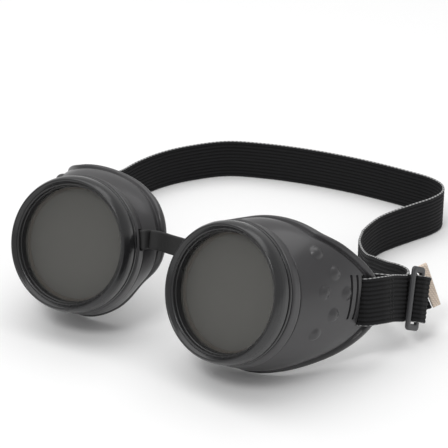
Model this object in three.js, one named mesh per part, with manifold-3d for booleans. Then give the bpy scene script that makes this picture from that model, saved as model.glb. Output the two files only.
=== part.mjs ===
// Welding goggles with two round screw-in lens rings, lying on the rims of their eyecups.
// Millimetres, +Z up, the lenses look along -Y. The origin is on the table, under the middle.
import * as THREE from 'three';
import { mergeVertices } from 'three/addons/utils/BufferGeometryUtils.js';
import Module from 'manifold-3d';

const wasm = await Module();
wasm.setup();

// Placement of the two eyecups. A cup's own frame has X to the temple, Y into the depth, Z up.
const CUP_SPACING = 79;
const RING_HEIGHT = 41.5;
const FACE_TILT = 21.2;
const TOE_IN = 5.7;
const ORIGIN = { x: -3.85, y: 92.45 };

// Lens stack and screw ring, as radii and depths behind the ring's widest circle.
const GAP = 0.3;
const LENS_RADIUS = 25;
const COVER_LENS = { front: 5.6, thick: 1.5 };
const SEPARATOR = { inner: 23.6, front: 7.4, thick: 0.6 };
const FILTER_LENS = { front: 8.3, thick: 3 };
const GASKET = { inner: 23, front: 11.6, thick: 3.4 };
const RING = { radius: 29.4, crest: -0.9, lip: 24.5, lipBack: 5.3, back: 8.2, skirt: 26.9, end: 14.7 };

// Eyecup: a round collar that the ring screws into, lofted to a rim that fits the face.
const COLLAR = { front: 8.6, back: 14.6, radius: 29.95, bore: 27.25, shiftX: 0.2, shiftZ: -0.7 };
const SHOULDER = { radius: 23, front: 15.3, back: 17.3 };
const BODY_START = 29.6;
const WALL = 1.9;
const BULGE = 1.3;
const FLANGE = { width: 4.2, proud: 1.4 };
// The rim, as [degrees from the temple side towards the top, radius, depth].
const RIM = [
  [0, 35.9, 63.5], [12, 36.8, 63.5], [28, 39, 54.5], [45, 38.9, 40], [60, 35.4, 33],
  [90, 31.1, 32.5], [120, 31, 32], [150, 34.6, 26], [180, 31, 28], [210, 24.1, 32],
  [240, 27.6, 29.5], [270, 31.2, 28], [300, 32, 35.5], [330, 32.7, 54],
];
const CUP_SEGMENTS = 48;
const ROUND_SEGMENTS = 40;

// Temple tab: strap slots across the wall, counted back from the rim, and the vent domes.
const TAB = { angle: 11.5, fromRim: 9, roll: 8 };
const SLOTS = [
  { fromRim: 13.8, roll: 8, width: 2.4, height: 21.4, rise: 0, bow: 0 },
  { fromRim: 17.4, roll: 4, width: 0.9, height: 18.6, rise: 1.4, bow: 1.5 },
  { fromRim: 21, roll: 4, width: 0.9, height: 18.6, rise: 1.4, bow: 1.5 },
];
const SLOT_CUT = { depth: 6, steps: 8 };
const VENT = { radius: 2.8, height: 1.2 };
const VENT_PLACES = [
  { angle: 45, along: 11 }, { angle: 30, along: 18 }, { angle: 16, along: 25.5 },
  { angle: 1, along: 19.5 }, { angle: -15, along: 13 }, { angle: 17, along: 12.5 },
];

// Elastic strap, slider and bridge strip.
const STRAP = { width: 20, thick: 1.2 };
const SLIDER = { length: 9, height: 27.4, bar: 2.4, arm: 2.8, thick: 1.7, lean: 7 };
const BRIDGE = { width: 8.4, thick: 1.2, angle: 164.7 };
const BRIDGE_PIN = { radius: 0.6, length: 8 };
const BAFFLE = { from: -26, to: 48, near: 8, far: 27, thick: 1, dish: 2.5, across: 10, along: 6 };
const BAND_STEPS = { loop: 60, fold: 44, binding: 6, side: 44, head: 90, bridge: 48 };
const STITCH = { along: 11, out: 3.75, across: -0.5, length: 3, height: 17, bar: 0.7, thick: 0.4 };

const PLASTIC = { color: 0x2b2b2e, roughness: 0.3, metalness: 0 };
const RING_PLASTIC = { color: 0x222224, roughness: 0.35, metalness: 0 };
const ELASTIC = { color: 0x1c1c1e, roughness: 0.9, metalness: 0 };
const THREAD = { color: 0xd8d6d0, roughness: 0.8, metalness: 0 };
const BINDING = { color: 0xc9b8a4, roughness: 0.9, metalness: 0 };
const CLEAR = { color: 0xdfe6e4, roughness: 0.05, metalness: 0 };
const SHADE = { color: 0x3c4238, roughness: 0.1, metalness: 0 };
const STEEL = { color: 0x9a9a9e, roughness: 0.4, metalness: 1 };
const RUBBER = { color: 0x141414, roughness: 0.8, metalness: 0 };

const radians = THREE.MathUtils.degToRad;

// ---- Geometry helpers ----

function signedVolume(geometry) {
  const p = geometry.attributes.position;
  const index = geometry.index;
  const [a, b, c] = [new THREE.Vector3(), new THREE.Vector3(), new THREE.Vector3()];
  let volume = 0;
  for (let i = 0; i < index.count; i += 3) {
    a.fromBufferAttribute(p, index.getX(i));
    b.fromBufferAttribute(p, index.getX(i + 1));
    c.fromBufferAttribute(p, index.getX(i + 2));
    volume += a.dot(b.cross(c)) / 6;
  }
  return volume;
}

// Merges the seams and turns the faces outwards.
function solid(geometry) {
  const bare = geometry.clone();
  bare.deleteAttribute('normal');
  bare.deleteAttribute('uv');
  const merged = mergeVertices(bare, 1e-4);
  if (signedVolume(merged) < 0) {
    const index = merged.index.array;
    for (let i = 0; i < index.length; i += 3) {
      [index[i], index[i + 1]] = [index[i + 1], index[i]];
    }
  }
  return merged;
}

function gridSolid(rows, closeRows) {
  const width = rows[0].length;
  const vertices = rows.flat().flatMap((point) => [point.x, point.y, point.z]);
  const index = [];
  const last = closeRows ? rows.length : rows.length - 1;
  for (let i = 0; i < last; i += 1) {
    const next = (i + 1) % rows.length;
    for (let j = 0; j < width; j += 1) {
      const k = (j + 1) % width;
      index.push(i * width + j, next * width + j, next * width + k);
      index.push(i * width + j, next * width + k, i * width + k);
    }
  }
  if (!closeRows) {
    const end = (rows.length - 1) * width;
    for (let j = 1; j < width - 1; j += 1) {
      index.push(0, j, j + 1);
      index.push(end, end + j + 1, end + j);
    }
  }
  const geometry = new THREE.BufferGeometry();
  geometry.setAttribute('position', new THREE.Float32BufferAttribute(vertices, 3));
  geometry.setIndex(index);
  return solid(geometry);
}

function toManifold(geometry) {
  const { position } = geometry.attributes;
  return new wasm.Manifold(new wasm.Mesh({
    numProp: 3,
    vertProperties: new Float32Array(position.array),
    triVerts: new Uint32Array(geometry.index.array),
  }));
}

function fromManifold(manifold) {
  const { vertProperties, triVerts } = manifold.getMesh();
  const geometry = new THREE.BufferGeometry();
  geometry.setAttribute('position', new THREE.BufferAttribute(vertProperties, 3));
  geometry.setIndex(new THREE.BufferAttribute(triVerts, 1));
  return geometry;
}

// A closed profile of [radius, depth] points turned about the cup's depth axis.
function turned(profile) {
  const points = profile.map(([radius, depth]) => new THREE.Vector2(radius, depth));
  points.push(points[0].clone());
  return solid(new THREE.LatheGeometry(points, ROUND_SEGMENTS));
}

function washer(inner, outer, front, thick) {
  const back = front + thick;
  return turned([[inner, front], [outer, front], [outer, back], [inner, back]]);
}

function disc(radius, front, thick) {
  const geometry = new THREE.CylinderGeometry(radius, radius, thick, ROUND_SEGMENTS);
  geometry.translate(0, front + thick / 2, 0);
  return solid(geometry);
}

// A flat band along a curve, standing on edge. The upright may turn on the way.
function band(points, width, thick, steps, uprightAt) {
  const curve = new THREE.CatmullRomCurve3(points, false, 'centripetal');
  const rows = [];
  for (let i = 0; i <= steps; i += 1) {
    const t = i / steps;
    const point = curve.getPoint(t);
    const tangent = curve.getTangent(t);
    const upright = uprightAt(t);
    const across = upright.clone().addScaledVector(tangent, -upright.dot(tangent)).normalize();
    const side = tangent.clone().cross(across);
    rows.push([[-1, -1], [1, -1], [1, 1], [-1, 1]].map(([s, a]) => point.clone()
      .addScaledVector(side, s * thick / 2)
      .addScaledVector(across, a * width / 2)));
  }
  return gridSolid(rows, false);
}

function mirrored(geometry, side) {
  return side > 0 ? geometry : solid(geometry.clone().scale(-1, 1, 1));
}

function part(name, geometry, look) {
  const mesh = new THREE.Mesh(geometry, new THREE.MeshStandardMaterial(look));
  mesh.name = name;
  return mesh;
}

// ---- Eyecup ----

// Smooth closed interpolation of the rim's radius and depth at an angle in degrees.
function rimAt(angle) {
  const turn = ((angle % 360) + 360) % 360;
  const count = RIM.length;
  let i = count - 1;
  while (RIM[i][0] > turn) {
    i -= 1;
  }
  const knot = (k) => {
    const [degrees, radius, depth] = RIM[(k + count) % count];
    return [degrees + 360 * Math.floor(k / count), radius, depth];
  };
  const [p, q, r, s] = [knot(i - 1), knot(i), knot(i + 1), knot(i + 2)];
  const h = r[0] - q[0];
  const t = (turn - q[0]) / h;
  return [1, 2].map((k) => {
    const m0 = h * (r[k] - p[k]) / (r[0] - p[0]);
    const m1 = h * (s[k] - q[k]) / (s[0] - q[0]);
    return (2 * t ** 3 - 3 * t ** 2 + 1) * q[k] + (t ** 3 - 2 * t ** 2 + t) * m0
      + (3 * t ** 2 - 2 * t ** 3) * r[k] + (t ** 3 - t ** 2) * m1;
  });
}

// The straight wall line at an angle: from the collar's back edge to the rim.
function wallLine(angle) {
  const a = radians(angle);
  const offset = COLLAR.shiftX * Math.cos(a) + COLLAR.shiftZ * Math.sin(a);
  const start = new THREE.Vector2(BODY_START + offset, COLLAR.back);
  const rim = new THREE.Vector2(...rimAt(angle));
  const along = rim.clone().sub(start);
  const length = along.length();
  along.divideScalar(length);
  const out = new THREE.Vector2(along.y, -along.x);
  return { start, along, out, length, offset };
}

// The point at a distance along the wall, lifted off it, as [radius, depth].
function wallPoint(line, distance, lift) {
  const bulge = BULGE * Math.sin(Math.PI * THREE.MathUtils.clamp(distance / line.length, 0, 1));
  const point = line.start.clone()
    .addScaledVector(line.along, distance)
    .addScaledVector(line.out, lift + bulge);
  return [point.x, point.y];
}

function polar(angle, [radius, depth]) {
  const a = radians(angle);
  return new THREE.Vector3(radius * Math.cos(a), depth, radius * Math.sin(a));
}

function cupSection(angle) {
  const line = wallLine(angle);
  const { length, offset } = line;
  const flange = length - FLANGE.width;
  return [
    [COLLAR.bore + 0.2, COLLAR.front],
    [COLLAR.radius - 0.7, COLLAR.front],
    [COLLAR.radius, COLLAR.front + 0.7],
    [COLLAR.radius + offset, COLLAR.back - 0.4],
    wallPoint(line, 0, 0),
    wallPoint(line, flange * 0.4, 0),
    wallPoint(line, flange * 0.7, 0),
    wallPoint(line, flange, 0),
    wallPoint(line, flange + 0.8, FLANGE.proud * 0.7),
    wallPoint(line, flange + 2.2, FLANGE.proud),
    wallPoint(line, length - 0.6, FLANGE.proud * 0.8),
    wallPoint(line, length, 0),
    wallPoint(line, length - 0.4, -1.3),
    wallPoint(line, length - 1.8, -WALL),
    wallPoint(line, flange * 0.7, -WALL),
    wallPoint(line, flange * 0.4, -WALL),
    wallPoint(line, SHOULDER.back - COLLAR.back + 0.4, -WALL),
    [SHOULDER.radius, SHOULDER.back],
    [SHOULDER.radius, SHOULDER.front],
    [COLLAR.bore, SHOULDER.front],
    [COLLAR.bore, COLLAR.front + 0.2],
  ];
}

// A frame on the outside of the wall: X along the wall to the rim, Y inwards, Z across.
function wallFrame(angle, along) {
  const line = wallLine(angle);
  const origin = polar(angle, wallPoint(line, along, 0));
  const x = polar(angle, [line.along.x, line.along.y]);
  const inwards = polar(angle, [-line.out.x, -line.out.y]);
  return new THREE.Matrix4().makeBasis(x, inwards, x.clone().cross(inwards)).setPosition(origin);
}

function tabFrame(fromRim, roll) {
  const frame = wallFrame(TAB.angle, wallLine(TAB.angle).length - fromRim);
  return frame.multiply(new THREE.Matrix4().makeRotationY(radians(-roll)));
}

// Slots run across the tab. A bowed one has its ends further from the rim than its middle.
function slotCutters() {
  return SLOTS.map(({ fromRim, roll, width, height, rise, bow }) => {
    const rows = [];
    for (let i = 0; i <= SLOT_CUT.steps; i += 1) {
      const place = 2 * i / SLOT_CUT.steps - 1;
      rows.push([[-1, -1], [1, -1], [1, 1], [-1, 1]].map(([x, y]) => new THREE.Vector3(
        x * width / 2 - bow * place ** 2,
        y * SLOT_CUT.depth,
        rise + place * height / 2,
      )));
    }
    return toManifold(gridSolid(rows, false).applyMatrix4(tabFrame(fromRim, roll)));
  });
}

function ventDomes() {
  return VENT_PLACES.map(({ angle, along }) => {
    const dome = new THREE.SphereGeometry(VENT.radius, 12, 8);
    dome.scale(1, VENT.height / VENT.radius, 1);
    dome.applyMatrix4(wallFrame(angle, along));
    return toManifold(solid(dome));
  });
}

function bridgePocket() {
  const pocket = new THREE.BoxGeometry(4, 3, BRIDGE.width + 0.8);
  pocket.translate(29.9, 11.2, 0).rotateY(-radians(BRIDGE.angle));
  return toManifold(solid(pocket));
}

function eyecup() {
  const rows = [];
  for (let i = 0; i < CUP_SEGMENTS; i += 1) {
    const angle = 360 * i / CUP_SEGMENTS;
    rows.push(cupSection(angle).map((point) => polar(angle, point)));
  }
  let cup = toManifold(gridSolid(rows, true));
  for (const dome of ventDomes()) {
    cup = cup.add(dome);
  }
  for (const cutter of slotCutters()) {
    cup = cup.subtract(cutter);
  }
  return fromManifold(cup.subtract(bridgePocket()));
}

// A dished cover on the inside of the vents, which keeps light out and lets air past.
function ventBaffle() {
  const { from, to, near, far, thick, dish, across, along } = BAFFLE;
  const sheet = (lift) => {
    const rows = [];
    for (let i = 0; i <= across; i += 1) {
      const angle = from + (to - from) * i / across;
      const line = wallLine(angle);
      const row = [];
      for (let j = 0; j <= along; j += 1) {
        const hollow = dish * Math.sin(Math.PI * i / across) * Math.sin(Math.PI * j / along);
        const distance = near + (far - near) * j / along;
        row.push(polar(angle, wallPoint(line, distance, lift - hollow)));
      }
      rows.push(row);
    }
    return rows;
  };
  const outer = sheet(-WALL - GAP);
  const inner = sheet(-WALL - GAP - thick);
  return gridSolid(outer.map((row, i) => [...row, ...inner[i].reverse()]), false);
}

// ---- Lens ring and lens stack ----

function screwRing() {
  const { radius, crest, lip, lipBack, back, skirt, end } = RING;
  const bore = LENS_RADIUS + GAP;
  return turned([
    [skirt, end], [skirt, back + 0.4], [radius - 0.5, back], [radius, back - 0.5],
    [radius, back - 1.3], [radius - 0.3, back - 1.8], [radius, 3.8], [radius - 0.2, 2.4],
    [radius - 0.6, 0.8], [radius - 1.1, -0.4], [radius - 1.5, crest], [radius - 2.1, crest],
    [radius - 3.5, 0.9], [radius - 4.2, 2], [lip, lipBack - 0.5],
    [lip, lipBack], [bore, lipBack], [bore, end],
  ]);
}

function addLensStack(cup, label) {
  const { front, thick } = COVER_LENS;
  cup.add(part(`cover_lens_${label}`, disc(LENS_RADIUS, front, thick), CLEAR));
  const separator = washer(SEPARATOR.inner, LENS_RADIUS, SEPARATOR.front, SEPARATOR.thick);
  cup.add(part(`lens_separator_${label}`, separator, RUBBER));
  const filter = disc(LENS_RADIUS, FILTER_LENS.front, FILTER_LENS.thick);
  cup.add(part(`filter_lens_${label}`, filter, SHADE));
  const gasket = washer(GASKET.inner, LENS_RADIUS, GASKET.front, GASKET.thick);
  cup.add(part(`lens_gasket_${label}`, gasket, RUBBER));
}

// ---- Straps ----

// Points given as [along, out, across] from a place on the temple tab, in the cup's frame.
function tabPath(points) {
  const frame = tabFrame(TAB.fromRim, TAB.roll);
  return points.map(([along, out, across]) => new THREE.Vector3(along, -out, across).applyMatrix4(frame));
}

const TAB_UP = new THREE.Vector3().setFromMatrixColumn(tabFrame(TAB.fromRim, TAB.roll), 2);

// The strap's loop through the outer slot: one leg outside the tab, one inside it.
const INNER_LEG = [
  [22.8, -0.9, -2.1], [20, -0.9, -1.7], [14, -0.1, -0.8], [12, -1.9, -0.5], [9.5, -5.4, -0.2],
];
const LOOP = [
  [6, -7.1, 0], [2.6, -7.2, 0], [-1.5, -7, 0], [-4, -5.9, 0], [-4.8, -2.6, 0], [-4.8, 0, 0],
  [-4.5, 1.6, 0], [-3, 2.6, 0], [0, 3.3, 0], [5, 3.6, -0.1], [8, 3.2, -0.3],
];
const OUTER_LEG = [[14, 1.8, -0.8], [20, 0.8, -1.7], [22.8, 0.6, -2.1]];

function strapLoop() {
  const path = tabPath([...INNER_LEG, ...LOOP, ...OUTER_LEG]);
  return band(path, STRAP.width, STRAP.thick, BAND_STEPS.loop, () => TAB_UP);
}

// Rows of sewing, as one raised frame on the outer leg.
function stitching() {
  const { along, out, across, length, height, bar, thick } = STITCH;
  const outline = new THREE.Shape();
  const hole = new THREE.Path();
  for (const [path, l, h] of [[outline, length, height], [hole, length - 2 * bar, height - 2 * bar]]) {
    path.moveTo(-l / 2, -h / 2).lineTo(l / 2, -h / 2).lineTo(l / 2, h / 2).lineTo(-l / 2, h / 2);
    path.closePath();
  }
  outline.holes.push(hole);
  const frame = new THREE.ExtrudeGeometry(outline, { depth: thick, bevelEnabled: false });
  frame.rotateX(Math.PI / 2);
  const [place] = tabPath([[along, out, across]]);
  return solid(frame.applyMatrix4(tabFrame(TAB.fromRim, TAB.roll).setPosition(place)));
}

// ---- Slider and the strap folded round it ----

// X along the strap away from the cup, Y inwards, Z up the bars, which lean a little.
function sliderFrame() {
  const [origin, ahead] = tabPath([[27.4, 2.3, -2.6], [33.4, 1.7, -3.3]]);
  const x = ahead.sub(origin).normalize();
  const y = TAB_UP.clone().cross(x).normalize();
  const frame = new THREE.Matrix4().makeBasis(x, y, x.clone().cross(y)).setPosition(origin);
  return frame.multiply(new THREE.Matrix4().makeRotationY(radians(SLIDER.lean)));
}

function roundedRectangle(path, width, height, radius) {
  const [w, h] = [width / 2 - radius, height / 2 - radius];
  path.absarc(w, h, radius, 0, Math.PI / 2);
  path.absarc(-w, h, radius, Math.PI / 2, Math.PI);
  path.absarc(-w, -h, radius, Math.PI, 1.5 * Math.PI);
  path.absarc(w, -h, radius, 1.5 * Math.PI, 2 * Math.PI);
  path.closePath();
  return path;
}

function slider() {
  const { length, height, bar, arm, thick } = SLIDER;
  const outline = roundedRectangle(new THREE.Shape(), length, height, 1.6);
  outline.holes.push(roundedRectangle(new THREE.Path(), length - 2 * bar, height - 2 * arm, 0.6));
  const options = { depth: thick, bevelEnabled: false, curveSegments: 4 };
  const frame = new THREE.ExtrudeGeometry(outline, options);
  frame.translate(0, 0, -thick / 2).rotateX(Math.PI / 2);
  return solid(frame.applyMatrix4(sliderFrame()));
}

// Points given as [along, inwards, up] from the slider's middle, in the cup's frame.
function sliderPath(points) {
  return points.map((point) => new THREE.Vector3(...point).applyMatrix4(sliderFrame()));
}

const SLIDER_UP = new THREE.Vector3().setFromMatrixColumn(sliderFrame(), 2);
const FOLD = [
  [-3, 1.8, 0], [-1.7, 1.8, 0], [-0.5, 0.7, 0], [0.5, -0.7, 0], [1.7, -1.9, 0], [4.2, -2, 0],
  [6.4, -1.8, 0], [7.8, -0.6, 0], [8.3, 1.2, 0.4], [8.9, 3, 1.2], [9.9, 4.5, 2.4], [11.3, 5.1, 3.8],
  [12.6, 4.7, 5],
];
const TAIL_END = [[13.2, 4.2, 5.6], [14.5, 3.1, 6.8], [15.7, 1.9, 7.8]];
const TAIL_LEAN = new THREE.Vector3(-0.49, 0.06, 0.87);

// The strap's upright round the slider, which leans over along the free tail.
function tailUp(t) {
  const leaning = TAIL_LEAN.clone().transformDirection(sliderFrame());
  return SLIDER_UP.clone().lerp(leaning, THREE.MathUtils.smoothstep(t, 0.75, 1));
}

function strapFold() {
  return band(sliderPath(FOLD), STRAP.width, STRAP.thick, BAND_STEPS.fold, tailUp);
}

function endBinding() {
  const [width, thick] = [STRAP.width + 0.6, STRAP.thick + 0.8];
  return band(sliderPath(TAIL_END), width, thick, BAND_STEPS.binding, () => tailUp(1));
}

// ---- The assembly ----

const main = new THREE.Group();
main.position.set(-ORIGIN.x, -ORIGIN.y, RING_HEIGHT);

// A cup's group: moved off the middle, tilted up and toed in.
function cupGroup(side) {
  const cup = new THREE.Group();
  cup.position.set(side * CUP_SPACING / 2, 0, 0);
  cup.rotation.set(radians(-FACE_TILT), 0, radians(-TOE_IN * side), 'ZXY');
  cup.updateMatrix();
  return cup;
}

function addCup(side, label) {
  const cup = cupGroup(side);
  main.add(cup);
  cup.add(part(`eyecup_${label}`, mirrored(eyecup(), side), PLASTIC));
  cup.add(part(`vent_baffle_${label}`, mirrored(ventBaffle(), side), RUBBER));
  cup.add(part(`screw_ring_${label}`, screwRing(), RING_PLASTIC));
  addLensStack(cup, label);
  cup.add(part(`bridge_pin_${label}`, mirrored(bridgePin(), side), STEEL));
  cup.add(part(`strap_loop_${label}`, mirrored(strapLoop(), side), ELASTIC));
  cup.add(part(`stitching_${label}`, mirrored(stitching(), side), THREAD));
  return cup;
}

function addSlider(cup) {
  cup.add(part('strap_slider', slider(), RING_PLASTIC));
  cup.add(part('strap_fold', strapFold(), ELASTIC));
  cup.add(part('strap_end_binding', endBinding(), BINDING));
}

// The strap's free run, as points on its middle line: out of the slider, round the back, to the
// left cup. It stands on its lower edge wherever it is half its width above the table.
const FLOOR_RUN = STRAP.width / 2 - RING_HEIGHT + 0.3;
const SIDE_RUN = [
  [83.5, 78, -20.8], [80.6, 81.3, -21.3], [76, 84, -22], [68.5, 88.3, -24.5], [57, 95.6, -28],
  [51.5, 99.3, -29.8], [45, 105.5, FLOOR_RUN], [39, 113, FLOOR_RUN], [35.3, 122, FLOOR_RUN],
];
const BACK_RUN = [
  [35, 122.5], [34, 131], [34, 141], [36, 150], [40, 162], [44, 174], [44.5, 183], [41, 190], [33, 194.5],
  [15, 196], [-10, 195.5], [-36, 192], [-60, 185.5], [-78, 177], [-90, 162], [-97, 147],
  [-100, 130], [-100, 115],
];
const LEFT_RUN = [[-97, 98, -27], [-92.5, 86, -20.5]];

function freeEnd(points, side) {
  const { matrix } = cupGroup(side);
  return tabPath(points).map(({ x, y, z }) => new THREE.Vector3(side * x, y, z).applyMatrix4(matrix));
}

// The strap's upright at a cup's tab, turning to plumb over the first part of a run.
function turningUp(side) {
  const tabUp = new THREE.Vector3(side * TAB_UP.x, TAB_UP.y, TAB_UP.z);
  tabUp.transformDirection(cupGroup(side).matrix);
  const plumb = new THREE.Vector3(0, 0, 1);
  return (t) => tabUp.clone().lerp(plumb, THREE.MathUtils.smoothstep(t, 0.15, 0.5));
}

function sideStrap() {
  const start = freeEnd([[23.2, -1, -2.15], [26.4, -1.6, -2.5]], 1);
  const run = SIDE_RUN.map((point) => new THREE.Vector3(...point));
  return band([...start, ...run], STRAP.width, STRAP.thick, BAND_STEPS.side, turningUp(1));
}

function headStrap() {
  const back = BACK_RUN.map(([x, y]) => new THREE.Vector3(x, y, FLOOR_RUN));
  const left = LEFT_RUN.map((point) => new THREE.Vector3(...point));
  const end = freeEnd([[27, 0.5, -2.6], [23.2, 0.6, -2.15]], -1);
  const up = turningUp(-1);
  const upright = (t) => up(3 * (1 - t));
  return band([...back, ...left, ...end], STRAP.width, STRAP.thick, BAND_STEPS.head, upright);
}

// ---- Bridge strip ----

// Points given as [radius, depth] at the bridge's place on the collar, in the cup's frame.
function bridgePath(side) {
  const { matrix } = cupGroup(side);
  return [[28.4, 11.75], [30.2, 11.75], [31.3, 12.4], [31.5, 13.8], [31.3, 15.2]].map((point) => {
    const { x, y, z } = polar(BRIDGE.angle, point);
    return new THREE.Vector3(side * x, y, z).applyMatrix4(matrix);
  });
}

function bridgeStrip() {
  const right = bridgePath(1);
  const left = bridgePath(-1).reverse();
  const last = right[right.length - 1];
  const middle = [0.7, 0, -0.7].map((k) => new THREE.Vector3(k * last.x, last.y + 1.6, last.z - 0.3));
  const lean = (t) => new THREE.Vector3(0.3 - 0.6 * t, 0.32, 0.9).normalize();
  return band([...right, ...middle, ...left], BRIDGE.width, BRIDGE.thick, BAND_STEPS.bridge, lean);
}

function bridgePin() {
  const pin = new THREE.CylinderGeometry(BRIDGE_PIN.radius, BRIDGE_PIN.radius, BRIDGE_PIN.length, 10);
  pin.rotateX(Math.PI / 2).translate(28.8, 10.3, 0).rotateY(-radians(BRIDGE.angle));
  return solid(pin);
}

const rightCup = addCup(1, 'right');
addCup(-1, 'left');
addSlider(rightCup);
main.add(part('bridge_strip', bridgeStrip(), RUBBER));
main.add(part('strap_side', sideStrap(), ELASTIC));
main.add(part('head_strap', headStrap(), ELASTIC));

export default main;
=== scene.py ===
"""Welding goggles: the looks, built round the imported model. Lengths are in millimetres until they become a mesh."""
import math

import bpy
import numpy as np
from mathutils import Matrix, Vector


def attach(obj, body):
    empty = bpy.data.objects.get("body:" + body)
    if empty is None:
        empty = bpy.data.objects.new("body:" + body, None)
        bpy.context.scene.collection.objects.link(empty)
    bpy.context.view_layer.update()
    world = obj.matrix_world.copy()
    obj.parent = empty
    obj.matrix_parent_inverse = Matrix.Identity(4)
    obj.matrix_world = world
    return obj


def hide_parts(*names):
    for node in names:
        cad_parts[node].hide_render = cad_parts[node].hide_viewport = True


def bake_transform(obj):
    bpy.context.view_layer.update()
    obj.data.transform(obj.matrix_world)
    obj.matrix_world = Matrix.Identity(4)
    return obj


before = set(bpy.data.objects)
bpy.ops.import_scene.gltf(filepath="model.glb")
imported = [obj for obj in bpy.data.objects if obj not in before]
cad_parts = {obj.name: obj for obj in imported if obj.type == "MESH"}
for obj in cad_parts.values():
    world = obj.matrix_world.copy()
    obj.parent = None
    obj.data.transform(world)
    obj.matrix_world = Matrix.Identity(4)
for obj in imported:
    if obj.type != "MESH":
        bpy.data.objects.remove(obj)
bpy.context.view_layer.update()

MM = 0.001
ROW_SHIFT = np.array([3.85, -92.45, 41.5])
CAMERA = {"place": (0.38960, -0.59566, 0.35776), "turn": (64.93, 0, 34.39), "lens": 137.4}

# The same driving dimensions as the CAD source.
CUP_SPACING, FACE_TILT, TOE_IN = 79, 21.2, 5.7
COLLAR = {"front": 8.6, "back": 14.6, "radius": 29.95, "bore": 27.25, "shift": (0.2, -0.7)}
SHOULDER = {"radius": 23, "front": 15.3, "back": 17.3}
BODY_START, WALL, BULGE, FLANGE_WIDTH = 29.6, 1.9, 1.3, 4.2
RIM = [
    (0, 35.9, 63.5), (12, 36.8, 63.5), (28, 39, 54.5), (45, 38.9, 40), (60, 35.4, 33),
    (90, 31.1, 32.5), (120, 31, 32), (150, 34.6, 26), (180, 31, 28), (210, 24.1, 32),
    (240, 27.6, 29.5), (270, 31.2, 28), (300, 32, 35.5), (330, 32.7, 54),
]
TAB_PLACE = {"angle": 11.5, "from_rim": 9, "roll": 8}
STRAP_SLOT = {"from_rim": 13.8, "roll": 8, "width": 2.4, "height": 21.4, "rise": 0, "bow": 0}
THIN_SLOTS = [{"from_rim": d, "roll": 6, "width": 1.3, "height": 18.6, "rise": 1.4, "bow": 0.9} for d in (17.2, 20.8)]
VENT = {"radius": 3.0, "height": 1.35}
VENT_PLACES = [(45, 11), (30, 18), (16, 25.5), (1, 19.5), (-15, 13), (17, 12.5)]
STRAP = {"width": 20, "thick": 1.2}
SLIDER = {"length": 9, "height": 27.4, "bar": 2.4, "arm": 2.8, "thick": 1.7, "lean": 7}
BRIDGE = {"width": 8.4, "thick": 1.2, "angle": 164.7}

INNER_LEG = [(22.8, -0.9, -2.1), (20, -0.9, -1.7), (14, -0.1, -0.8), (12, -1.9, -0.5), (9.5, -5.4, -0.2)]
LOOP = [
    (6, -7.1, 0), (2.6, -7.2, 0), (-1.5, -7, 0), (-4, -5.9, 0), (-4.8, -2.6, 0), (-4.8, 0, 0),
    (-4.5, 1.6, 0), (-3, 2.6, 0), (0, 3.3, 0), (5, 3.6, -0.1), (8, 3.2, -0.3),
]
OUTER_LEG = [(14, 1.8, -0.8), (20, 0.8, -1.7), (22.8, 0.6, -2.1)]
FOLD = [
    (-3, 1.8, 0), (-1.7, 1.8, 0), (-0.5, 0.7, 0), (0.5, -0.7, 0), (1.7, -1.9, 0), (4.2, -2, 0),
    (6.4, -1.8, 0), (7.8, -0.6, 0), (8.3, 1.2, 0.4), (8.9, 3, 1.2), (9.9, 4.5, 2.4), (11.3, 5.1, 3.8),
    (12.6, 4.7, 5),
]
TAIL_END = [(13.2, 4.2, 5.6), (14.5, 3.1, 6.8), (15.7, 1.9, 7.8)]
TAIL_LEAN = (-0.49, 0.06, 0.87)
FLOOR_RUN = STRAP["width"] / 2 - ROW_SHIFT[2] + 0.3
SIDE_RUN = [
    (83.5, 78, -20.8), (80.6, 81.3, -21.3), (76, 84, -22), (68.5, 88.3, -24.5), (57, 95.6, -28),
    (51.5, 99.3, -29.8), (45, 105.5, FLOOR_RUN), (39, 113, FLOOR_RUN), (35.3, 122, FLOOR_RUN),
]
BACK_RUN = [
    (35, 122.5), (34, 131), (34, 141), (36, 150), (40, 162), (44, 174), (44.5, 183), (41, 190),
    (33, 194.5), (15, 196), (-10, 195.5), (-36, 192), (-60, 185.5), (-78, 177), (-90, 162),
    (-97, 147), (-100, 130), (-100, 115),
]
LEFT_RUN = [(-97, 98, -27), (-92.5, 86, -20.5)]


# ---- Meshes ----

def mesh_object(name, vertices, faces, sharp=40):
    """A shown object from row-frame points in metres, smooth but for edges over an angle."""
    mesh = bpy.data.meshes.new(name)
    mesh.from_pydata([tuple(v) for v in vertices], [], [tuple(f) for f in faces])
    mesh.validate()
    mesh.update()
    mesh.shade_smooth()
    mesh.set_sharp_from_angle(angle=math.radians(sharp))
    made = bpy.data.objects.new(name, mesh)
    bpy.context.scene.collection.objects.link(made)
    return made


def grid_faces(rows, width, close_rows):
    """Quads of a closed-width grid, with end caps unless the rows close too."""
    faces = []
    for i in range(rows if close_rows else rows - 1):
        n = (i + 1) % rows
        for j in range(width):
            k = (j + 1) % width
            faces.append((i * width + j, i * width + k, n * width + k, n * width + j))
    if not close_rows:
        faces.append(tuple(range(width))[::-1])
        faces.append(tuple((rows - 1) * width + j for j in range(width)))
    return faces


def rounded(profile, radius, steps=4):
    """A closed polyline with each corner eased by up to a radius."""
    out = []
    count = len(profile)
    for i in range(count):
        p, q, r = (np.array(profile[k % count], float) for k in (i - 1, i, i + 1))
        a, b = p - q, r - q
        la, lb = np.linalg.norm(a), np.linalg.norm(b)
        cut = min(radius, 0.45 * la, 0.45 * lb)
        start, end = q + a / la * cut, q + b / lb * cut
        for k in range(steps + 1):
            t = k / steps
            out.append((1 - t) ** 2 * start + 2 * t * (1 - t) * q + t ** 2 * end)
    return out


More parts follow.
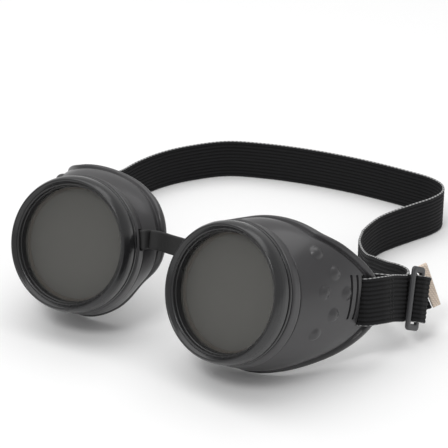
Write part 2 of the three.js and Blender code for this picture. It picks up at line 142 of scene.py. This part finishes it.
def outward(vertices, faces):
    """The faces, turned over if they enclose a negative volume."""
    v = np.asarray(vertices)
    total = 0.0
    for f in faces:
        for k in range(1, len(f) - 1):
            total += np.dot(v[f[0]], np.cross(v[f[k]], v[f[k + 1]]))
    return faces if total > 0 else [f[::-1] for f in faces]


# ---- The cup's own frame ----

def cup_turn(side):
    z = Matrix.Rotation(math.radians(-TOE_IN * side), 3, "Z")
    x = Matrix.Rotation(math.radians(-FACE_TILT), 3, "X")
    return np.array(z @ x)


def to_row(points, side):
    """Right-cup points, mirrored for the left cup, as row-frame metres."""
    local = np.asarray(points, float) * (side, 1, 1)
    placed = local @ cup_turn(side).T + (side * CUP_SPACING / 2, 0, 0)
    return (placed + ROW_SHIFT) * MM


def unit(v):
    return np.asarray(v, float) / np.linalg.norm(v)


def polar(angle, point):
    a = math.radians(angle)
    return np.array([point[0] * math.cos(a), point[1], point[0] * math.sin(a)])


def rim_at(angle):
    """The rim's radius and depth at an angle, smooth through the listed points."""
    turn = angle % 360
    count = len(RIM)
    i = max(k for k in range(count) if RIM[k][0] <= turn)

    def knot(k):
        degrees, radius, depth = RIM[k % count]
        return np.array([degrees + 360 * (k // count), radius, depth])
    p, q, r, s = (knot(k) for k in (i - 1, i, i + 1, i + 2))
    h = r[0] - q[0]
    t = (turn - q[0]) / h
    m0, m1 = h * (r - p) / (r[0] - p[0]), h * (s - q) / (s[0] - q[0])
    at = ((2 * t ** 3 - 3 * t ** 2 + 1) * q + (t ** 3 - 2 * t ** 2 + t) * m0
          + (3 * t ** 2 - 2 * t ** 3) * r + (t ** 3 - t ** 2) * m1)
    return at[1:]


def wall_line(angle):
    a = math.radians(angle)
    offset = COLLAR["shift"][0] * math.cos(a) + COLLAR["shift"][1] * math.sin(a)
    start = np.array([BODY_START + offset, COLLAR["back"]])
    along = rim_at(angle) - start
    length = np.linalg.norm(along)
    along = along / length
    return {"start": start, "along": along, "out": np.array([along[1], -along[0]]),
            "length": length, "offset": offset}


def wall_point(line, distance, lift):
    share = min(max(distance / line["length"], 0), 1)
    return line["start"] + line["along"] * distance + line["out"] * (lift + BULGE * math.sin(math.pi * share))


def wall_frame(angle, along):
    """4x4: X along the wall to the rim, Y inwards, Z across."""
    line = wall_line(angle)
    x = polar(angle, line["along"])
    y = polar(angle, -line["out"])
    return frame_of(x, y, np.cross(x, y), polar(angle, wall_point(line, along, 0)))


def frame_of(x, y, z, origin):
    made = np.eye(4)
    made[:3, 0], made[:3, 1], made[:3, 2], made[:3, 3] = x, y, z, origin
    return made


def rolled(matrix, degrees):
    return matrix @ np.array(Matrix.Rotation(math.radians(degrees), 4, "Y"))


def placed(matrix, points):
    return np.asarray(points, float) @ matrix[:3, :3].T + matrix[:3, 3]


def tab_frame(from_rim, roll):
    angle = TAB_PLACE["angle"]
    return rolled(wall_frame(angle, wall_line(angle)["length"] - from_rim), -roll)


TAB = tab_frame(TAB_PLACE["from_rim"], TAB_PLACE["roll"])
TAB_UP = TAB[:3, 2]


def tab_path(points):
    """(along, out, across) from a place on the temple tab, in the cup's frame."""
    return placed(TAB, [(a, -o, c) for a, o, c in points])


# ---- Eyecup ----

def flange_profile(line):
    """The rounded flange at the rim, with a groove in front of it, as (distance, lift)."""
    start = line["length"] - FLANGE_WIDTH
    steps = [
        (-2.6, 0), (-2.1, -0.1), (-1.6, -0.35), (-1.0, -0.6), (-0.4, -0.7), (0.0, -0.65), (0.25, -0.3),
        (0.4, 0.3), (0.65, 0.8),
        (1.0, 1.12), (1.5, 1.33), (2.2, 1.4), (2.9, 1.33), (3.4, 1.15), (3.8, 0.8), (4.05, 0.4),
        (4.2, 0.0), (4.15, -0.6), (3.95, -1.1), (3.5, -1.5), (3.0, -1.75), (2.4, -1.9),
    ]
    return [(start + d, lift) for d, lift in steps]


def vent_lift(point, centres):
    nearest = min(np.linalg.norm(point - c) for c in centres) / VENT["radius"]
    return VENT["height"] * (1 - nearest ** 2) ** 1.1 if nearest < 1 else 0


def cup_section(angle, centres):
    line = wall_line(angle)
    offset = line["offset"]
    flange = flange_profile(line)
    front, back, radius = COLLAR["front"], COLLAR["back"], COLLAR["radius"]
    whole = radius + offset
    section = [
        (27.45, front), (29.0, front), (29.5, front + 0.06), (29.8, front + 0.25), (radius, front + 0.6),
        (radius + 0.4 * offset, front + 1.8), (whole, back - 2.4), (whole, back - 1.35),
        (whole - 0.08, back - 1.12), (whole - 0.3, back - 1.0), (whole - 1.0, back - 0.95),
        (whole - 1.0, back - 0.25), (BODY_START + offset - 0.12, back - 0.12),
    ]
    outer = 100
    for i in range(outer):
        distance = (flange[0][0] - 0.25) * i / (outer - 1) + 0.1
        base = wall_point(line, distance, 0)
        lift = vent_lift(polar(angle, base), centres)
        section.append(tuple(wall_point(line, distance, lift)))
    section += [tuple(wall_point(line, d, lift)) for d, lift in flange[1:]]
    inner = 26
    first, last = flange[-1][0] - 0.5, SHOULDER["back"] - back + 0.4
    for i in range(inner):
        section.append(tuple(wall_point(line, first + (last - first) * i / (inner - 1), -WALL)))
    section += [
        (SHOULDER["radius"] + 0.3, SHOULDER["back"]), (SHOULDER["radius"], SHOULDER["back"] - 0.3),
        (SHOULDER["radius"], SHOULDER["front"] + 0.3), (SHOULDER["radius"] + 0.3, SHOULDER["front"]),
        (COLLAR["bore"] - 0.2, SHOULDER["front"]), (COLLAR["bore"], SHOULDER["front"] - 0.2),
        (COLLAR["bore"], front + 0.2),
    ]
    return section


def cup_angles():
    """Every 2 degrees, and every 0.6 round the vents and the tab."""
    fine = list(np.arange(-30, 60, 0.6))
    return fine + list(np.arange(60, 330, 2))


def prism(matrix, outline, half):
    """A closed prism: an outline in X and Z, and a half height in Y."""
    vertices = [(x, y, z) for y in (-half, half) for x, z in outline]
    return placed(matrix, vertices), grid_faces(2, len(outline), False)


def slot_prism(place):
    """A slot across the tab; a bowed one has its ends further from the rim than its middle."""
    spans = np.linspace(-1, 1, 13)
    half, tall = place["width"] / 2, place["height"] / 2
    left = [(-place["bow"] * t ** 2 - half, place["rise"] + t * tall) for t in spans]
    right = [(-place["bow"] * t ** 2 + half, place["rise"] + t * tall) for t in spans]
    return prism(tab_frame(place["from_rim"], place["roll"]), left + right[::-1], 6)


def cup_cutters():
    """The tab's three slots and the bridge's pocket in the collar."""
    turn = frame_of(*np.eye(3), (0, 0, 0))
    a = math.radians(BRIDGE["angle"])
    turn[:3, :3] = [[math.cos(a), 0, -math.sin(a)], [0, 1, 0], [math.sin(a), 0, math.cos(a)]]
    half = BRIDGE["width"] / 2 + 0.4
    outline = [(27.9, -half), (31.9, -half), (31.9, half), (27.9, half)]
    shift = frame_of(*np.eye(3), (0, 11.2, 0))
    return [slot_prism(STRAP_SLOT), *(slot_prism(place) for place in THIN_SLOTS), prism(shift @ turn, outline, 1.5)]


def cut(target, cutters):
    """Subtracts closed solids from the target's mesh."""
    for vertices, faces in cutters:
        tool = mesh_object("cutter", vertices, outward(vertices, faces))
        change = target.modifiers.new("cut", "BOOLEAN")
        change.operation, change.solver, change.object = "DIFFERENCE", "EXACT", tool
        graph = bpy.context.evaluated_depsgraph_get()
        mesh = bpy.data.meshes.new_from_object(target.evaluated_get(graph))
        target.modifiers.clear()
        target.data = mesh
        bpy.data.objects.remove(tool)


def cup_mesh():
    """The right eyecup in its own frame: points and faces."""
    centres = [placed(wall_frame(a, d), [(0, 0, 0)])[0] for a, d in VENT_PLACES]
    angles = cup_angles()
    sections = [cup_section(angle, centres) for angle in angles]
    vertices = [polar(angle, p) for angle, section in zip(angles, sections) for p in section]
    faces = outward(vertices, grid_faces(len(angles), len(sections[0]), True))
    shell = mesh_object("shell", vertices, faces)
    cut(shell, cup_cutters())
    points = np.array([v.co for v in shell.data.vertices])
    polygons = [tuple(p.vertices) for p in shell.data.polygons]
    bpy.data.objects.remove(shell)
    return points, polygons


# ---- Screw ring ----

RING_PROFILE = [
    (26.55, 14.7), (26.6, 8.9), (28.2, 8.45), (29.1, 8.4), (29.5, 8.1), (29.5, 7.1), (29.35, 6.85),
    (28.8, 6.75), (28.8, 6.35), (29.25, 6.25), (29.4, 5.9), (29.4, 3.8), (29.25, 2.4), (28.85, 0.9),
    (28.3, -0.35), (27.9, -0.85), (27.35, -0.9), (27.05, -0.7), (26.1, 0.5), (25.9, 0.95),
    (25.55, 1.0), (25.3, 1.4), (25.15, 2.6), (24.85, 2.8), (24.6, 4.6), (24.5, 5.0), (24.5, 5.3),
    (25.3, 5.3), (25.3, 14.7),
]
THREAD = {"pitch": 2.5, "height": 0.5, "from": 9.6, "to": 14.4, "rows": 36}


def ring_points(side):
    """The ring's turned surface, with a helical thread on its sleeve."""
    around = 180
    sleeve = np.linspace(THREAD["to"], THREAD["from"], THREAD["rows"])
    body = rounded(RING_PROFILE[1:], 0.25, 3)
    rows = []
    for i in range(around):
        turn = i / around
        section = [(25.45, 14.7), (26.4, 14.7)]
        for depth in sleeve:
            phase = (depth / THREAD["pitch"] + turn * side) % 1
            ease = min(1, (THREAD["to"] - depth) / 0.4, (depth - THREAD["from"]) / 0.4)
            section.append((26.6 + THREAD["height"] * max(0, 1 - abs(phase - 0.5) * 3.2) * max(ease, 0), depth))
        section += [tuple(p) for p in body]
        rows.append([polar(360 * turn, p) for p in section])
    width = len(rows[0])
    vertices = [p for row in rows for p in row]
    return to_row(vertices, 1) if side > 0 else to_row(np.array(vertices) * (-1, 1, 1), -1), \
        grid_faces(around, width, True)


# ---- Bands ----

def spline(points, samples):
    """A centripetal Catmull-Rom curve through the points, the CAD's own kind."""
    p = [np.array(q, float) for q in points]
    p = [2 * p[0] - p[1]] + p + [2 * p[-1] - p[-2]]
    out = []
    last = len(points) - 1
    for s in range(samples + 1):
        at = last * s / samples
        i = min(int(at), last - 1)
        w = at - i
        a, b, c, d = p[i:i + 4]
        t0, t1, t2 = (max(np.linalg.norm(u - v), 1e-6) ** 0.5 for u, v in ((b, a), (c, b), (d, c)))
        m0 = ((b - a) / t0 - (c - a) / (t0 + t1) + (c - b) / t1) * t1
        m1 = ((c - b) / t1 - (d - b) / (t1 + t2) + (d - c) / t2) * t1
        c2, c3 = -3 * b + 3 * c - 2 * m0 - m1, 2 * b - 2 * c + m0 + m1
        out.append(b + m0 * w + c2 * w ** 2 + c3 * w ** 3)
    return np.array(out)


def evened(curve, step):
    """The curve at even spacing, with each point's share of the original and its distance."""
    lengths = np.r_[0, np.cumsum(np.linalg.norm(np.diff(curve, axis=0), axis=1))]
    count = max(int(lengths[-1] / step), 4)
    at = np.linspace(0, lengths[-1], count + 1)
    share = np.interp(at, lengths, np.linspace(0, 1, len(curve)))
    return np.array([np.interp(at, lengths, curve[:, k]) for k in range(3)]).T, share, at


def band_section(width, thick, ribs, depth):
    """A band's cross-section as (side, across), ribbed on both faces, round at its edges."""
    per = 6 * ribs if ribs else 12
    across = np.linspace(-width / 2 + thick * 0.35, width / 2 - thick * 0.35, per + 1)
    wave = [0.5 + 0.5 * math.cos(2 * math.pi * ribs * (a / width)) if ribs else 1 for a in across]
    face = [(thick / 2 - depth * (1 - w), a) for w, a in zip(wave, across)]
    edge = [(thick * 0.42 * math.cos(t), width / 2 - thick * 0.35 + thick * 0.35 * math.sin(t))
            for t in np.linspace(0.35, math.pi - 0.35, 6)]
    top = face + edge
    return top + [(-s, -a) for s, a in top]


def band(name, points, upright_at, width, thick, ribs=11, depth=0.24, step=1.2, sway=None):
    """A ribbed band along a route, in row-frame mm, with a UV map in metres for its weave."""
    curve, share, at = evened(spline(points, 24 * len(points)), step)
    section = band_section(width, thick, ribs, depth)
    tangents = np.gradient(curve, axis=0)
    vertices, count = [], len(section)
    for i, point in enumerate(curve):
        tangent = unit(tangents[i])
        upright = np.asarray(upright_at(share[i]), float)
        across = unit(upright - tangent * np.dot(upright, tangent))
        side = np.cross(tangent, across)
        for s, a in section:
            vertices.append(point + side * (s + (sway(at[i], a) if sway else 0)) + across * a)
    faces = outward(vertices, grid_faces(len(curve), count, False))
    made = mesh_object(name, np.array(vertices) * MM, faces, 50)
    uv = made.data.uv_layers.new(name="weave")
    along = {i: (section[i % count][1] * MM, at[i // count] * MM) for i in range(len(vertices))}
    for loop in made.data.loops:
        uv.data[loop.index].uv = along[loop.vertex_index]
    made["length_m"] = float(at[-1] * MM)
    return made


def row_mm(points, side):
    return to_row(points, side) / MM


def row_direction(v, side):
    return cup_turn(side) @ (np.asarray(v) * (side, 1, 1))


def slider_frame():
    """X along the strap away from the cup, Y inwards, Z up the bars."""
    origin, ahead = tab_path([(27.4, 2.3, -2.6), (33.4, 1.7, -3.3)])
    x = unit(ahead - origin)
    y = unit(np.cross(TAB_UP, x))
    return rolled(frame_of(x, y, np.cross(x, y), origin), SLIDER["lean"])


SLIDE = slider_frame()


def smoothstep(t, low, high):
    s = min(max((t - low) / (high - low), 0), 1)
    return s * s * (3 - 2 * s)


def turning_up(side):
    tab_up = row_direction(TAB_UP, side)
    return lambda t: tab_up + (np.array([0, 0, 1]) - tab_up) * smoothstep(t, 0.15, 0.5)


# ---- Materials ----

def material(name):
    made = bpy.data.materials.new(name)
    made.use_nodes = True
    return made, made.node_tree, made.node_tree.nodes["Principled BSDF"]


def add(tree, kind, settings=None, **inputs):
    """A node with its settings, and its inputs as values or as sockets to link."""
    made = tree.nodes.new(kind)
    for key, value in (settings or {}).items():
        setattr(made, key, value)
    for key, value in inputs.items():
        socket = made.inputs[int(key[1:]) if key[0] == "i" and key[1:].isdigit() else key.replace("_", " ")]
        if isinstance(value, bpy.types.NodeSocket):
            tree.links.new(value, socket)
        else:
            socket.default_value = value
    return made


def ramp(tree, factor, low, high, low_colour, high_colour):
    made = add(tree, "ShaderNodeValToRGB", Fac=factor)
    made.color_ramp.elements[0].position, made.color_ramp.elements[1].position = low, high
    made.color_ramp.elements[0].color = (*low_colour, 1)
    made.color_ramp.elements[1].color = (*high_colour, 1)
    return made.outputs["Color"]


def scaled(tree, value, low, high):
    return add(tree, "ShaderNodeMapRange", i0=value, i3=low, i4=high).outputs[0]


def grey(level, tint=0.0):
    return (level, level, level * (1 + tint))


def plastic(name, colour, rough, grain, coat=0.0):
    """Moulded plastic: faint mottling, a fine moulded grain and uneven gloss."""
    made, tree, shader = material(name)
    place = add(tree, "ShaderNodeTexCoord").outputs["Object"]
    cloud = add(tree, "ShaderNodeTexNoise", Vector=place, Scale=60.0, Detail=4.0).outputs["Fac"]
    fine = add(tree, "ShaderNodeTexNoise", Vector=place, Scale=1400.0, Detail=3.0).outputs["Fac"]
    specks = add(tree, "ShaderNodeTexVoronoi", Vector=place, Scale=900.0).outputs["Distance"]
    dark = tuple(0.93 * c for c in colour)
    light = tuple(1.07 * c for c in colour)
    tree.links.new(ramp(tree, cloud, 0.3, 0.7, dark, light), shader.inputs["Base Color"])
    tree.links.new(scaled(tree, cloud, rough - 0.03, rough + 0.04), shader.inputs["Roughness"])
    height = add(tree, "ShaderNodeMath", {"operation": "ADD"}, i0=fine, i1=specks).outputs[0]
    bump = add(tree, "ShaderNodeBump", Strength=grain, Distance=0.00012, Height=height)
    tree.links.new(bump.outputs["Normal"], shader.inputs["Normal"])
    shader.inputs["Coat Weight"].default_value = coat
    shader.inputs["Coat Roughness"].default_value = 0.12
    return made


def elastic(name, colour, thread, edge_thread):
    """Ribbed woven elastic: cross ribs, lengthwise cords, fuzz, and pale threads at its edges. Its colour holds
    painted shade in the grooves between the cords and a painted highlight on their crests.
    """
    made, tree, shader = material(name)
    weave = add(tree, "ShaderNodeUVMap", {"uv_map": "weave"}).outputs["UV"]
    parts = add(tree, "ShaderNodeSeparateXYZ", Vector=weave)
    across, along = parts.outputs["X"], parts.outputs["Y"]

    def wave(value, period, phase=0.0):
        turned = add(tree, "ShaderNodeMath", {"operation": "MULTIPLY_ADD"},
                     i0=value, i1=2 * math.pi / period, i2=phase).outputs[0]
        sine = add(tree, "ShaderNodeMath", {"operation": "SINE"}, i0=turned).outputs[0]
        return add(tree, "ShaderNodeMapRange", i0=sine, i1=-1.0, i2=1.0).outputs[0]
    weft = wave(along, 0.0009)
    # The cord wave follows the band's geometric ribs, so it sets where the painted groove shade and crest highlight
    # fall.
    warp = wave(across, STRAP["width"] * MM / 11, math.pi / 2)
    picks = scaled(tree, weft, 0.7, 1.0)
    woven = add(tree, "ShaderNodeMath", {"operation": "MULTIPLY"}, i0=picks, i1=warp).outputs[0]
    fuzz = add(tree, "ShaderNodeTexNoise", Vector=weave, Scale=2600.0, Detail=4.0).outputs["Fac"]
    # Body colour: the weave's own picks and cords, darkened to 0.2x as painted shade in the grooves between the cords
    # and lightened to 1.6x as a painted highlight on their crests.
    body = ramp(tree, woven, 0.05, 0.7, tuple(0.2 * c for c in colour), tuple(1.6 * c for c in colour))
    away = add(tree, "ShaderNodeMath", {"operation": "ABSOLUTE"}, i0=across).outputs[0]
    edge = add(tree, "ShaderNodeMath", {"operation": "GREATER_THAN"}, i0=away,
               i1=STRAP["width"] * MM / 2 - edge_thread * MM).outputs[0]
    dash = wave(along, 0.0021)
    shown = scaled(tree, dash, 0.25, 1.0)
    both = add(tree, "ShaderNodeMath", {"operation": "MULTIPLY"}, i0=edge, i1=shown).outputs[0]
    mixed = add(tree, "ShaderNodeMix", {"data_type": "RGBA"}, i0=both)
    tree.links.new(body, mixed.inputs[6])
    mixed.inputs[7].default_value = (*thread, 1)
    tree.links.new(mixed.outputs[2], shader.inputs["Base Color"])
    height = add(tree, "ShaderNodeMath", {"operation": "MULTIPLY_ADD"}, i0=fuzz, i1=0.6, i2=woven).outputs[0]
    bump = add(tree, "ShaderNodeBump", Strength=0.7, Distance=0.0002, Height=height)
    tree.links.new(bump.outputs["Normal"], shader.inputs["Normal"])
    tree.links.new(scaled(tree, fuzz, 0.7, 0.95), shader.inputs["Roughness"])
    shader.inputs["Sheen Weight"].default_value = 0.05
    shader.inputs["Sheen Roughness"].default_value = 0.4
    shader.inputs["Specular IOR Level"].default_value = 0.25
    return made


def cloth(name, colour, period):
    """Plain woven tape, from two crossed waves."""
    made, tree, shader = material(name)
    place = add(tree, "ShaderNodeTexCoord").outputs["Object"]
    waves = [add(tree, "ShaderNodeTexWave", {"bands_direction": d}, Vector=place, Scale=0.314 / period,
                 Distortion=1.2, Detail=2.0).outputs["Fac"] for d in ("DIAGONAL", "Z")]
    woven = add(tree, "ShaderNodeMath", {"operation": "MULTIPLY"}, i0=waves[0], i1=waves[1]).outputs[0]
    cloud = add(tree, "ShaderNodeTexNoise", Vector=place, Scale=300.0, Detail=4.0).outputs["Fac"]
    both = add(tree, "ShaderNodeMath", {"operation": "MULTIPLY_ADD"}, i0=cloud, i1=0.7, i2=woven).outputs[0]
    tree.links.new(ramp(tree, both, 0.2, 1.1, tuple(0.72 * c for c in colour), colour), shader.inputs["Base Color"])
    bump = add(tree, "ShaderNodeBump", Strength=0.6, Distance=0.0002, Height=woven)
    tree.links.new(bump.outputs["Normal"], shader.inputs["Normal"])
    shader.inputs["Roughness"].default_value = 0.9
    shader.inputs["Sheen Weight"].default_value = 0.2
    return made


def glass(name, colour, rough, alpha):
    """A lens: smooth, with very faint dust and smears in its gloss."""
    made, tree, shader = material(name)
    place = add(tree, "ShaderNodeTexCoord").outputs["Object"]
    smear = add(tree, "ShaderNodeTexNoise", Vector=place, Scale=45.0, Detail=6.0, Distortion=1.5).outputs["Fac"]
    shade = ramp(tree, smear, 0.3, 0.75, tuple(0.98 * c for c in colour), colour)
    tree.links.new(shade, shader.inputs["Base Color"])
    tree.links.new(scaled(tree, smear, rough - 0.01, rough + 0.01), shader.inputs["Roughness"])
    shader.inputs["Alpha"].default_value = alpha
    return made


def metal(name):
    made, tree, shader = material(name)
    place = add(tree, "ShaderNodeTexCoord").outputs["Object"]
    brushed = add(tree, "ShaderNodeTexNoise", Vector=place, Scale=1500.0, Detail=3.0).outputs["Fac"]
    tree.links.new(ramp(tree, brushed, 0.3, 0.7, grey(0.12), grey(0.2)), shader.inputs["Base Color"])
    tree.links.new(scaled(tree, brushed, 0.28, 0.45), shader.inputs["Roughness"])
    shader.inputs["Metallic"].default_value = 1.0
    return made


CUP_LOOK = plastic("cup_plastic", (0.038, 0.037, 0.039), 0.34, 0.05, 0.1)
RING_LOOK = plastic("ring_plastic", (0.013, 0.013, 0.014), 0.27, 0.05, 0.2)
SLIDER_LOOK = plastic("slider_plastic", (0.045, 0.045, 0.048), 0.34, 0.2)
RUBBER_LOOK = plastic("dark_rubber", (0.012, 0.012, 0.012), 0.6, 0.35)
FIBRE_LOOK = plastic("fibre", (0.12, 0.085, 0.06), 0.85, 0.6)
ELASTIC_LOOK = elastic("elastic", (0.006, 0.006, 0.0067), grey(0.42), 0.3)
THREAD_LOOK = cloth("thread", grey(0.012), 0.0006)
BINDING_LOOK = cloth("binding", (0.86, 0.72, 0.60), 0.0009)
COVER_LOOK = glass("clear_glass", (0.135, 0.133, 0.124), 0.4, 0.35)
SHADE_LOOK = glass("shade_glass", (0.135, 0.133, 0.122), 0.4, 1.0)
STEEL_LOOK = metal("steel")


def dressed(piece, look):
    piece.data.materials.clear()
    piece.data.materials.append(look)
    return piece


def stands_for(piece, look, slot_name, *nodes):
    dressed(piece, look)
    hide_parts(*nodes)
    return piece


# ---- Cups, rings and what stays as CAD ----

CUP_POINTS, CUP_FACES = cup_mesh()
for side, label in ((1, "right"), (-1, "left")):
    points = to_row(CUP_POINTS, side)
    shell = mesh_object(f"eyecup_shell_{label}", points, outward(points, CUP_FACES), 42)
    stands_for(shell, CUP_LOOK, "cup_plastic", f"eyecup_{label}")
    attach(shell, f"cup_{label}")
    points, faces = ring_points(side)
    ring = mesh_object(f"lens_ring_{label}", points, outward(points, faces), 35)
    stands_for(ring, RING_LOOK, "ring_plastic", f"screw_ring_{label}")
    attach(ring, f"ring_{label}")
    for node, look, slot_name in (
        ("vent_baffle", RUBBER_LOOK, "dark_rubber"), ("lens_gasket", RUBBER_LOOK, "dark_rubber"),
        ("lens_separator", FIBRE_LOOK, "fibre"), ("filter_lens", SHADE_LOOK, "shade_glass"),
        ("cover_lens", COVER_LOOK, "clear_glass"), ("bridge_pin", STEEL_LOOK, "steel"),
    ):
        dressed(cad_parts[f"{node}_{label}"], look)


# ---- Straps ----

def strap_loop(side, label):
    route = row_mm(tab_path([*INNER_LEG, *LOOP, *OUTER_LEG]), side)
    up = row_direction(TAB_UP, side)
    made = band(f"woven_loop_{label}", route, lambda t: up, STRAP["width"], STRAP["thick"], step=0.7)
    return stands_for(made, ELASTIC_LOOK, "elastic", f"strap_loop_{label}")


def stitches(side, label):
    """Short threads in two rows across the outer leg."""
    base = TAB.copy()
    base[:3, 3] = tab_path([(11, 3.2, -0.5)])[0]
    vertices, faces = [], []
    around = 6
    for row in (-1.1, 1.1):
        for k in range(8):
            centre = -7.7 + 2.2 * k
            first = len(vertices)
            for t in np.linspace(-1, 1, 7):
                r = 0.2 * math.sqrt(max(1 - t ** 4, 0.02))
                for a in range(around):
                    turn = 2 * math.pi * a / around
                    vertices.append((row + r * math.cos(turn), 0.23 * row - r * math.sin(turn), centre + 0.75 * t))
            faces += [tuple(first + i for i in f) for f in grid_faces(7, around, False)]
    points = to_row(placed(base, vertices), side)
    made = mesh_object(f"sewing_{label}", points, outward(points, faces), 60)
    return stands_for(made, THREAD_LOOK, "thread", f"stitching_{label}")


def slider_ring():
    """The slider: a rounded rectangular loop with softly rounded bars."""
    length, height, bar, arm, thick = (SLIDER[k] for k in ("length", "height", "bar", "arm", "thick"))

    def outline(w, h, radius):
        points = []
        for cx, cy, start in ((1, 1, 0), (-1, 1, 90), (-1, -1, 180), (1, -1, 270)):
            for k in range(9):
                a = math.radians(start + 90 * k / 8)
                points.append(((w / 2 - radius) * cx + radius * math.cos(a),
                               (h / 2 - radius) * cy + radius * math.sin(a)))
        return np.array(points)
    outside, inside = outline(length, height, 1.8), outline(length - 2 * bar, height - 2 * arm, 0.6)
    around = 20
    vertices = []
    for o, i in zip(outside, inside):
        middle, half = (o + i) / 2, (o - i) / 2
        for k in range(around):
            a = 2 * math.pi * k / around
            c, s = math.cos(a), math.sin(a)
            u = math.copysign(abs(c) ** 0.55, c)
            v = math.copysign(abs(s) ** 0.55, s) * thick / 2
            at = middle + half * u
            vertices.append((at[0], v, at[1]))
    points = to_row(placed(SLIDE, vertices), 1)
    made = mesh_object("slider_frame", points, outward(points, grid_faces(len(outside), around, True)), 50)
    return stands_for(made, SLIDER_LOOK, "slider_plastic", "strap_slider")


LOOP_LENGTHS = {}
for side, label in ((1, "right"), (-1, "left")):
    loop = strap_loop(side, label)
    if side > 0:
        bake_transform(loop)
    else:
        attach(loop, "cup_left")
    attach(stitches(side, label), f"cup_{label}")

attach(slider_ring(), "slider")
SLIDE_UP = row_direction(SLIDE[:3, 2], 1)
TAIL_UP = row_direction(SLIDE[:3, :3] @ unit(TAIL_LEAN), 1)


def fold_up(t):
    return SLIDE_UP + (TAIL_UP - SLIDE_UP) * smoothstep(t, 0.75, 1)


fold = band("woven_fold", row_mm(placed(SLIDE, FOLD), 1), fold_up, STRAP["width"], STRAP["thick"], step=0.6)
stands_for(fold, ELASTIC_LOOK, "elastic", "strap_fold")
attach(fold, "slider")
binding = band("tape_binding", row_mm(placed(SLIDE, TAIL_END), 1), lambda t: TAIL_UP,
               STRAP["width"] + 0.6, STRAP["thick"] + 0.8, ribs=0, depth=0, step=0.5)
stands_for(binding, BINDING_LOOK, "binding", "strap_end_binding")
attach(binding, "slider")

SIDE_START = row_mm(tab_path([(23.2, -1, -2.15), (26.4, -1.6, -2.5)]), 1)
side_route = [*SIDE_START, *(np.array(SIDE_RUN) + ROW_SHIFT)]
side_strap = band("woven_side", side_route, turning_up(1), STRAP["width"], STRAP["thick"])
stands_for(side_strap, ELASTIC_LOOK, "elastic", "strap_side")
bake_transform(side_strap)

HEAD_END = row_mm(tab_path([(27, 0.5, -2.6), (23.2, 0.6, -2.15)]), -1)
back_route = [(np.array([x, y, FLOOR_RUN]) + ROW_SHIFT) for x, y in BACK_RUN]
head_route = [*back_route, *(np.array(LEFT_RUN) + ROW_SHIFT), *HEAD_END]
LEFT_UP = turning_up(-1)
head_strap = band("woven_head", head_route, lambda t: LEFT_UP(3 * (1 - t)), STRAP["width"], STRAP["thick"])
stands_for(head_strap, ELASTIC_LOOK, "elastic", "head_strap")
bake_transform(head_strap)


# ---- Bridge strip ----

def bridge_path(side):
    places = [(28.4, 11.75), (30.2, 11.75), (31.3, 12.4), (31.5, 13.8), (31.3, 15.2)]
    return row_mm([polar(BRIDGE["angle"], p) for p in places], side)


def bridge_strip():
    right, left = bridge_path(1), bridge_path(-1)[::-1]
    last = right[-1] - ROW_SHIFT
    middle = [np.array([k * last[0], last[1] + 1.6, last[2] - 0.3]) + ROW_SHIFT for k in (0.7, 0, -0.7)]
    made = band("nose_strip", [*right, *middle, *left], lambda t: unit([0.3 - 0.6 * t, 0.32, 0.9]),
                BRIDGE["width"], BRIDGE["thick"], ribs=0, depth=0, step=0.6)
    return stands_for(made, RUBBER_LOOK, "dark_rubber", "bridge_strip")


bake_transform(bridge_strip())


# ---- Floor, light and camera ----

def floor():
    half = 3.0
    made = mesh_object("floor", [(-half, -half, 0), (half, -half, 0), (half, half, 0), (-half, half, 0)], [(0, 1, 2, 3)])
    look, tree, shader = material("floor")
    place = add(tree, "ShaderNodeTexCoord").outputs["Object"]
    cloud = add(tree, "ShaderNodeTexNoise", Vector=place, Scale=2.0, Detail=2.0).outputs["Fac"]
    tree.links.new(ramp(tree, cloud, 0.3, 0.7, grey(0.93), grey(0.95)), shader.inputs["Base Color"])
    shader.inputs["Roughness"].default_value = 0.9
    shader.inputs["Specular IOR Level"].default_value = 0.1
    made.data.materials.append(look)


def soft_light(name, place, target, size, power):
    lamp = bpy.data.lights.new(name, "AREA")
    lamp.shape, lamp.size, lamp.size_y, lamp.energy = "RECTANGLE", size[0], size[1], power
    made = bpy.data.objects.new(name, lamp)
    made.location = place
    made.rotation_euler = (Vector(target) - Vector(place)).to_track_quat("-Z", "Y").to_euler()
    bpy.context.scene.collection.objects.link(made)


floor()
soft_light("overhead", (-0.2, 0.2, 1.2), (0, -0.02, 0.03), (1.6, 1.2), 9)
soft_light("key", (0.1, -0.85, 1.0), (0, -0.05, 0.03), (0.35, 0.3), 4)

world = bpy.data.worlds.new("studio")
world.use_nodes = True
world.node_tree.nodes["Background"].inputs["Color"].default_value = (1, 1, 1, 1)
world.node_tree.nodes["Background"].inputs["Strength"].default_value = 0.55
bpy.context.scene.world = world
bpy.context.scene.view_settings.view_transform = "Standard"

camera = bpy.data.cameras.new("camera")
camera.lens, camera.sensor_width = CAMERA["lens"], 36
viewer = bpy.data.objects.new("camera", camera)
viewer.location = CAMERA["place"]
viewer.rotation_euler = [math.radians(a) for a in CAMERA["turn"]]
bpy.context.scene.collection.objects.link(viewer)
bpy.context.scene.camera = viewer
